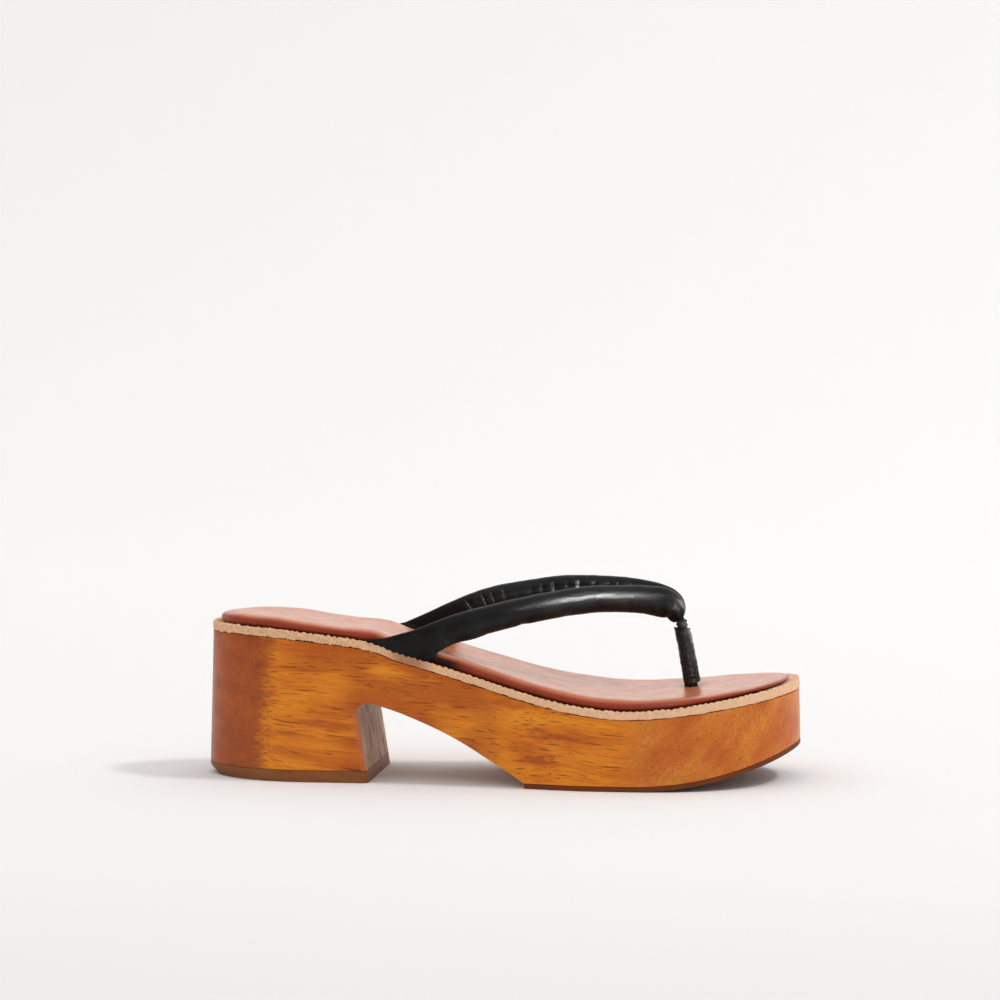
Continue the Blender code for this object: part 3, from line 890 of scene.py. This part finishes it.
outerRows = track(strapColumns, [
    (93.8, -30.5, 59.5, 12.0, 1.5, 166), (98.2, -29.9, 61.1, 10.6, 1.9, 164),
    (103.2, -28.7, 62.8, 8.9, 2.6, 158), (109.0, -26.4, 64.8, 7.6, 3.5, 144),
    (116.0, -23.2, 67.0, 6.7, 4.6, 126), (124.5, -19.4, 69.4, 6.0, 5.3, 112),
    (134.0, -15.6, 71.5, 5.8, 5.6, 104), (144.0, -11.9, 73.5, 5.8, 5.7, 102),
    (156.0, -7.7, 75.5, 5.8, 5.7, 98), (168.0, -3.4, 76.8, 5.9, 5.7, 93),
    (180.0, 0.9, 77.0, 5.9, 5.7, 89), (190.0, 4.4, 76.4, 6.2, 5.4, 84),
    (197.3, 6.9, 75.2, 6.6, 5.0, 74), (201.8, 8.6, 73.3, 6.0, 4.5, 54),
    (204.2, 10.0, 70.7, 4.1, 3.3, 26), (205.0, 11.2, 68.3, 2.2, 2.0, 11),
    (205.5, 11.9, 66.9, 1.4, 1.4, 11),
], numbered=True)
innerRows = track(strapColumns, [
    (94.0, 28.6, 60.0, 11.6, 1.5, 165), (99.6, 28.2, 63.0, 9.7, 1.9, 159),
    (104.6, 27.7, 65.8, 8.3, 2.6, 152), (109.6, 27.0, 68.4, 7.1, 3.5, 141),
    (116.5, 26.0, 71.4, 6.3, 4.4, 124), (126.0, 24.6, 74.6, 5.9, 5.0, 111),
    (138.0, 23.0, 77.2, 5.8, 5.3, 102), (153.0, 21.2, 79.2, 5.8, 5.3, 97),
    (166.0, 19.7, 79.5, 5.9, 5.3, 91), (178.0, 18.4, 79.2, 5.9, 5.2, 87),
    (188.5, 17.6, 77.6, 6.2, 5.0, 81), (196.8, 16.9, 75.4, 6.6, 4.7, 72),
    (201.8, 15.4, 73.3, 6.0, 4.4, 54), (204.2, 14.0, 70.7, 4.1, 3.3, 26),
    (205.0, 12.8, 68.3, 2.2, 2.0, 11), (205.5, 12.1, 66.9, 1.4, 1.4, 11),
], numbered=True)

# creases, listed one by one: station, angle round the strap (0 top, 90 big toe side, 270 little toe side),
# depth, width along the strap, spread round it in degrees, slant
outerCreases = [
    (98.0, 285.0, 0.5, 2.6, 38.0, 0.10), (104.0, 250.0, 0.4, 2.4, 40.0, -0.08),
    (110.5, 300.0, 0.45, 2.2, 34.0, 0.10), (120.0, 215.0, 0.4, 2.4, 32.0, -0.05),
    (138.5, 205.0, 0.55, 2.2, 40.0, 0.03), (134.0, 270.0, 0.1, 3.4, 30.0, 0.04),
    (157.0, 220.0, 0.25, 2.4, 34.0, 0.02), (171.0, 330.0, 0.1, 3.4, 30.0, 0.03),
    (183.5, 235.0, 0.3, 2.0, 36.0, -0.05), (192.5, 345.0, 0.3, 2.0, 30.0, 0.06),
    (197.5, 240.0, 0.4, 1.8, 36.0, -0.04),
]
innerCreases = [
    (101.0, 280.0, 0.45, 2.4, 36.0, 0.10), (108.0, 250.0, 0.4, 2.2, 40.0, -0.06),
    (118.0, 300.0, 0.3, 2.4, 34.0, 0.08), (133.0, 315.0, 0.25, 2.4, 32.0, 0.04),
    (151.0, 290.0, 0.22, 2.4, 36.0, -0.03), (163.0, 305.0, 0.25, 2.0, 34.0, 0.03),
    (174.5, 285.0, 0.3, 1.8, 34.0, 0.02), (186.0, 300.0, 0.4, 2.0, 36.0, 0.05),
    (194.0, 280.0, 0.35, 1.8, 36.0, 0.05),
]
outerSeam = {"angle": 140.0, "groove": 0.5, "pucker": 0.35, "every": 4.6}
innerSeam = {"angle": 286.0, "groove": 0.4, "pucker": 0.8, "every": 5.6}


def blackLeather():
    material = newFinish("black_leather_nappa", {"Specular IOR Level": 0.17})
    place = inMillimetres()
    wear = cloud(place, 9.0, 4.0, 0.6)
    colour = ramp(wear, [(0.35, straps["black"]), (0.75, straps["rubbed"])])
    grain = cells(place, 1.1)
    fine = cloud(place, 0.6, 2.0)
    cracks = mapped(grain["Distance"], 0.45, 0.85, 0.0, 0.6)
    colour = mixed(cracks, colour, straps["crack"])
    gloss = mapped(wear, 0.3, 0.7, 0.36, 0.44)
    height = calc("SUBTRACT", times(fine, 0.4), grain["Distance"])
    dress(colour, gloss, height, 0.13, 0.6)
    return material


def turnBetween(angle, mark):
    return (angle - mark + 180.0) % 360.0 - 180.0


def strapFrame(rows, at):
    last = len(rows["marks"]) - 1
    behind = max(min(at, last - straps["neckRows"]) - 0.5, 0.0)
    step = [along(rows, behind + 1, name) - along(rows, behind, name) for name in ("station", "offset")]
    heading = math.atan2(step[1], step[0])
    here = {name: along(rows, at, name) for name in strapColumns.split()}
    lean = math.radians(here["lean"])
    level = math.cos(lean)
    here["centre"] = Vector((here["station"], here["offset"], here["height"]))
    here["width"] = Vector((level * math.cos(heading), level * math.sin(heading), math.sin(lean)))
    here["thick"] = Vector((-math.sin(heading), math.cos(heading), 0.0))
    return here


def strapShape(side, rows, creases, seam):
    last = len(rows["marks"]) - 1
    tabRows = straps["tabRows"]
    marks = [last * i / (straps["rows"] - 1) for i in range(straps["rows"])]
    frames = [strapFrame(rows, at) for at in marks]
    run = [0.0]
    for here, there in zip(frames, frames[1:]):
        run.append(run[-1] + (there["centre"] - here["centre"]).length)

    def underNeck(number, degrees, before, width, spread):
        return bell(marks[number] - last + before, width) * bell(turnBetween(degrees, 180.0), spread)

    def relief(number, degrees):
        # how far the leather stands out of the plain roll
        here = frames[number]
        length = run[number]
        push = 0.0
        for station, angle, depth, width, spread, slant in creases:
            across = turnBetween(degrees, angle)
            push -= depth * bell(here["station"] - station - slant * across, width) * bell(across, spread)
        across = math.radians(turnBetween(degrees, seam["angle"])) * here["halfThick"]
        plump = ease(*straps["plump"], here["halfThick"])
        push -= plump * seam["groove"] * bell(across, straps["seamWidth"])
        beat = length / seam["every"] + 0.55 * noise.noise(Vector((length / 11.0, 2.0, side * 4.0)))
        strength = max(0.6 + 0.9 * noise.noise(Vector((round(beat) * 1.3, 7.3, side * 2.0))), 0.2)
        push -= plump * seam["pucker"] * strength * pulse(beat) * bell(across, straps["puckerWidth"])
        angle = math.radians(degrees)
        spot = Vector((length, math.cos(angle) * straps["girth"], math.sin(angle) * straps["girth"]))
        depth, size = straps["lump"]
        push += depth * plump * noise.noise(spot / size + Vector((0.0, side * 9.0, 0.0)))
        depth, size = straps["ripple"]
        push += depth * noise.noise(spot / size + Vector((0.0, side * 5.0, 0.0)))
        gather = ease(last - 5.0, last - 2.0, marks[number])
        flute = 0.5 - 0.5 * math.cos(angle * straps["flutes"] + side)
        slim = min(here["halfThick"] / straps["plump"][1], 1.0)
        flap = straps["flap"] * underNeck(number, degrees, *straps["flapAt"])
        return push * (0.35 + 0.65 * slim) - straps["fluteDepth"] * gather * slim * flute + flap

    def rollSpot(number, degrees):
        here = frames[number]
        angle = math.radians(degrees)
        spot = here["centre"] + here["width"] * (here["halfWidth"] * math.cos(angle))
        spot += here["thick"] * (here["halfThick"] * math.sin(angle))
        outward = here["width"] * (math.cos(angle) * here["halfThick"])
        outward += here["thick"] * (math.sin(angle) * here["halfWidth"])
        spot += outward.normalized() * relief(number, degrees)
        hang = straps["droop"] * underNeck(number, degrees, *straps["droopAt"])
        return spotAt(*(spot - Vector((0.0, 0.0, hang))))

    def tabSpot(degrees):
        angle = math.radians(degrees)
        station = straps["tabMiddle"] - straps["tabHalf"] * math.cos(angle)
        inset = straps["tabInset"] - side * straps["tabThick"] * math.sin(angle)
        height = weltHigh(station) + solePlan["gap"]
        return spotAt(station, leanIn(soleEdge(side, station), height) - side * inset, height)

    def spot(column, row):
        degrees = 360.0 * column / straps["sides"]
        if row < tabRows:
            return tabSpot(degrees).lerp(rollSpot(0, degrees), row / tabRows)
        return rollSpot(row - tabRows, degrees)

    shape = bendGrid(straps["sides"], straps["rows"] + tabRows, spot)
    closeEnds(shape)
    return shape


# toe post: the straps' core, a wrinkled leather sleeve and a thread binding at the neck
toePost = {
    "foot": footbed["postFoot"],
    "head": (206.5, 12.0, 63.2),
    "coreFoot": 2.2,
    "coreNeck": 1.5,
    "coreEnds": (-3.0, 29.2),
    "coreSides": 32,
    "coreRows": 24,
    "sleeveEnds": (0.2, 24.4),
    "sleeveRadii": (3.78, 3.38),
    "sleeveWall": 1.0,
    "sleeveSides": 64,
    "sleeveRows": 90,
    "sleeveSharp": 75.0,
    "crumple": 0.24,
    "crumpleSizes": (1.5, 3.7),
    "lap": 0.2,
    "lapRise": (-9.0, 0.0),  # degrees from the front
    "lapFall": (40.0, 110.0),
    "tuck": 0.2,
    "tuckEvery": 2.6,
    "flare": 1.5,
    "flareReach": 7.0,
    "bulge": 0.35,
    "footTilt": 0.8,
    "footReach": 5.0,
    "bindingEnds": (24.5, 28.7),
    "turns": 5.2,
    "crossTurns": 1.7,
    "thread": 0.43,
    "threadSides": 12,
    "turnSteps": 28,
    "windRadius": 1.8,
    "windSharp": 60.0,
    "leather": paint(20, 18, 18),
    "leatherRubbed": paint(38, 35, 34),
    "leatherDeep": paint(9, 8, 8),
    "threadBlack": paint(10, 9, 9),
    "threadGrey": paint(26, 24, 23),
}
postFoot = spotAt(*toePost["foot"])
postTurn = (spotAt(*toePost["head"]) - postFoot).to_track_quat("Z", "Y")


def postAngle(direction):
    local = postTurn.inverted() @ Vector(direction)
    return math.degrees(math.atan2(local.y, local.x))


postFront = postAngle((0.0, -1.0, 0.0))
postBack = postAngle((-1.0, 0.0, 0.0))


def postSpot(radius, angle, height):
    return postFoot + postTurn @ (Vector((radius * math.cos(angle), radius * math.sin(angle), height)) * mm)


def coreShape():
    low, high = toePost["coreEnds"]
    rows = toePost["coreRows"]

    def spot(column, row):
        height = low + (high - low) * row / (rows - 1)
        share = between(*toePost["sleeveEnds"], height)
        radius = toePost["coreFoot"] + (toePost["coreNeck"] - toePost["coreFoot"]) * share
        return postSpot(radius, 2 * math.pi * column / toePost["coreSides"], height)

    shape = bendGrid(toePost["coreSides"], rows, spot)
    closeEnds(shape)
    return shape


def sleeveShape():
    low, high = toePost["sleeveEnds"]
    wall = toePost["sleeveWall"]
    count = toePost["sleeveRows"]
    footRadius, neckRadius = toePost["sleeveRadii"]
    rows = [(wall, low), (0.2, low), (0.0, low + 0.3)]  # depth below the outer face, height
    rows += [(0.0, low + 0.3 + (high - low - 0.6) * i / count) for i in range(1, count + 1)]
    rows += [(0.2, high - 0.08), (0.5, high), (wall - 0.1, high - 0.15), (wall, high - 0.6), (wall, low)]

    def spot(column, row):
        depth, height = rows[row]
        angle = 2 * math.pi * column / toePost["sleeveSides"]
        degrees = math.degrees(angle)
        share = (height - low) / (high - low)
        radius = footRadius + (neckRadius - footRadius) * share - depth
        facing = math.cos(math.radians(turnBetween(degrees, postBack)))
        back = max(facing, 0.0) ** 2
        top = ease(high - toePost["flareReach"], high, height) if row < len(rows) - 1 else 0.0
        if depth < wall - 0.05:
            ring = Vector((math.cos(angle) * 3.5, math.sin(angle) * 3.5, height))
            fine, coarse = toePost["crumpleSizes"]
            radius += toePost["crumple"] * (noise.noise(ring / fine) + 0.5 * noise.noise(ring / coarse))
            lap = turnBetween(degrees, postFront)
            fold = ease(*toePost["lapRise"], lap) * (1 - ease(*toePost["lapFall"], lap))
            radius += toePost["lap"] * (fold - 0.4)
            beat = height / toePost["tuckEvery"] + 0.4 * noise.noise(Vector((height / 3.0, 4.0, 1.0)))
            radius -= toePost["tuck"] * pulse(beat) * bell(lap + 4.0, 24.0)
            radius += toePost["bulge"] * back * top
        tilt = facing * (1 - ease(low, low + toePost["footReach"], height))
        return postSpot(radius, angle, height + toePost["flare"] * back * top - toePost["footTilt"] * tilt)

    return bendGrid(toePost["sleeveSides"], len(rows), spot)


def windThread(shape, turns, windRadius, climbFrom, climbTo):
    # one round thread section spun up the neck
    radius = toePost["thread"] * mm
    upright = Vector((0.0, 1.0, 0.0)).to_track_quat("Z", "Y").to_matrix()
    sides = toePost["threadSides"]
    ring = bmesh.ops.create_circle(shape, segments=sides, radius=radius, cap_ends=True)["verts"]
    bmesh.ops.rotate(shape, verts=ring, cent=(0.0, 0.0, 0.0), matrix=upright)
    bmesh.ops.translate(shape, verts=ring, vec=Vector((windRadius, 0.0, climbFrom)) * mm)
    section = ring + list({edge for vert in ring for edge in vert.link_edges})
    section += list({face for vert in ring for face in vert.link_faces})
    steps = int(turns * toePost["turnSteps"])
    climb = (climbTo - climbFrom) / steps * mm
    bmesh.ops.spin(shape, geom=section, cent=(0.0, 0.0, 0.0), axis=(0.0, 0.0, 1.0), dvec=(0.0, 0.0, climb),
                   angle=2 * math.pi * turns, steps=steps)


def bindingShape():
    low, high = toePost["bindingEnds"]
    thread = toePost["thread"]
    shape = bmesh.new()
    windThread(shape, toePost["turns"], toePost["windRadius"], low + thread, high - thread)
    outside = toePost["windRadius"] + 0.8 * thread
    windThread(shape, toePost["crossTurns"], outside, high - thread, low + 1.6 * thread)
    bmesh.ops.remove_doubles(shape, verts=shape.verts, dist=weldReach)
    for vert in shape.verts:
        spread = 1.0 + 0.09 * noise.noise(vert.co / (0.9 * mm))  # pulled tight by hand, not quite even
        vert.co = postFoot + postTurn @ Vector((vert.co.x * spread, vert.co.y * spread, vert.co.z))
    return shape


def sleeveLeather():
    material = newFinish("sleeve_leather_crumpled", {"Specular IOR Level": 0.25})
    place = inMillimetres()
    wear = cloud(place, (1.8, 1.8, 1.2), 4.0, 0.65)
    colour = ramp(wear, [(0.3, toePost["leatherDeep"]), (0.5, toePost["leather"]),
                               (0.72, toePost["leatherRubbed"])])
    gloss = mapped(wear, 0.3, 0.7, 0.3, 0.42)
    grain = cells(place, 0.7)
    height = calc("SUBTRACT", wear, times(grain["Distance"], 0.5))
    dress(colour, gloss, height, 0.42, 0.9)
    return material


def blackThread():
    material = newFinish("black_thread_twist", {"Specular IOR Level": 0.35})
    place = inMillimetres((0.3, 0.5, 0.0))
    inputs = {"Vector": place, "Scale": 0.8, "Distortion": 1.2, "Detail": 2.0}
    twist = put("TexWave", inputs).outputs["Fac"]
    colour = ramp(twist, [(0.2, toePost["threadBlack"]), (0.9, toePost["threadGrey"])])
    gloss = mapped(twist, 0.0, 1.0, 0.55, 0.75)
    dress(colour, gloss, twist, 0.12, 0.7)
    return material


strapFinish = blackLeather()
outerShape = strapShape(outerSide, outerRows, outerCreases, outerSeam)
innerShape = strapShape(innerSide, innerRows, innerCreases, innerSeam)
upper = makePiece("stuffed_straps", outerShape, strapFinish, "strap_upper",
                  straps["sharp"])
innerStrap = makePiece("inner_strap", innerShape, strapFinish)
core = makePiece("post_core", coreShape(), strapFinish)
for other in (innerStrap, core):
    combine(upper, other, "UNION", straps["sharp"])
for other in (innerStrap, core):
    bpy.data.objects.remove(other)
print("straps joined,", len(upper.data.polygons), "faces")

sleeve = sleeveShape()
makePiece("post_sleeve", sleeve, sleeveLeather(), "toe_post_sleeve",
          toePost["sleeveSharp"])
binding = bindingShape()
makePiece("post_binding", binding, blackThread(), "neck_binding", toePost["windSharp"])
print("toe post made")

# studio: pale sweep, a soft key from the right and a surround that brightens upwards
studio = {
    "halfWidth": 14.0,
    "front": -5.0,
    "wall": 2.4,
    "turn": 1.4,
    "top": 3.2,
    "floorPale": paint(248, 247, 246),
    # painted shade: the floor is coloured darker towards the front, where less light falls
    "floorFront": paint(238, 236, 234),
    "fadeFrom": -60.0,  # mm, just in front of the shoe
    "glow": 0.11,  # the lit backdrop, fading out towards the shoe
    "horizon": 0.22,
    "zenith": 0.88,
}
# lamps: aim in mm, turn to the right of the camera side, rise, reach, size, spread, power;
# the glints only shine, the key only lights
lamps = {
    "soft_key": ((0.0, 0.0, 40.0), 84.0, 56.0, 5.0, 0.66, 180.0, 64.0),
    "strap_glint": ((37.0, -4.0, 77.0), 35.0, 31.0, 0.5, 0.035, 5.0, 0.026),
    "rear_glint": ((-10.0, 26.0, 69.0), 35.0, 31.0, 0.5, 0.02, 3.5, 0.011),
    "end_glint": ((70.0, -4.0, 67.0), 100.0, 2.0, 0.5, 0.02, 3.0, 0.013),
    "sleeve_glint": ((79.0, 8.0, 52.0), 12.0, 25.0, 0.5, 0.05, 4.5, 0.009),
    "pleat_glint": ((24.0, 22.0, 78.0), 90.0, 33.0, 0.9, 0.32, 5.5, 0.02),
}


def paleSweep():
    sockets = {"Roughness": 0.9, "Specular IOR Level": 0.0, "Emission Color": (1.0, 1.0, 1.0, 1.0)}
    material = newFinish("studio_sweep", sockets)
    place = inMillimetres()
    behind = axis(place, 1)
    drift = calc("ADD", behind, times(cloud(place, 400.0, 2.0), 40.0))
    # painted shade: darker floor colour towards the front
    fade = mapped(drift, -550.0, studio["fadeFrom"])
    colour = mixed(fade, studio["floorFront"], studio["floorPale"])
    feed("Base Color", colour)
    glow = mapped(behind, studio["fadeFrom"], studio["wall"] / mm, 0.0, studio["glow"], "LINEAR")
    feed("Emission Strength", glow)
    return material


def makeStudio():
    shape = bmesh.new()
    bmesh.ops.create_grid(shape, x_segments=4, y_segments=80, size=1.0)
    flat = studio["wall"] - studio["turn"] - studio["front"]
    arc = studio["turn"] * math.pi / 2
    total = flat + arc + studio["top"]
    for vert in shape.verts:
        run = (vert.co.y + 1) / 2 * total
        angle = min(max((run - flat) / studio["turn"], 0.0), math.pi / 2)
        ahead = studio["front"] + min(run, flat) + studio["turn"] * math.sin(angle)
        up = studio["turn"] * (1 - math.cos(angle)) + max(run - flat - arc, 0.0)
        vert.co = (vert.co.x * studio["halfWidth"], ahead, up)
    sweep = makePiece("floor_sweep", shape, paleSweep())

    surround = bpy.data.worlds.new("studio_surround")
    surround.use_nodes = True
    bench["tree"] = surround.node_tree
    backdrop = surround.node_tree.nodes["Background"].inputs
    backdrop["Color"].default_value = (1.0, 1.0, 1.0, 1.0)
    up = axis(put("TexCoord").outputs["Generated"], 2)
    join(mapped(up, 0.0, 0.75, studio["horizon"], studio["zenith"]), backdrop["Strength"])
    scene.world = surround

    for name, (aim, turn, rise, reach, size, spread, power) in lamps.items():
        lamp = bpy.data.lights.new(name, "AREA")
        lamp.size = size
        lamp.spread = math.radians(spread)
        lamp.energy = power
        light = bpy.data.objects.new(name, lamp)
        turn = math.radians(turn)
        rise = math.radians(rise)
        away = Vector((math.cos(rise) * math.sin(turn), -math.cos(rise) * math.cos(turn), math.sin(rise)))
        light.location = Vector(aim) * mm + away * reach
        light.rotation_euler = away.to_track_quat("Z", "Y").to_euler()
        light.visible_camera = False
        light.visible_diffuse = "glint" not in name
        light.visible_glossy = "glint" in name
        scene.collection.objects.link(light)
    scene.view_settings.view_transform = "Standard"


makeStudio()
print("studio lit")
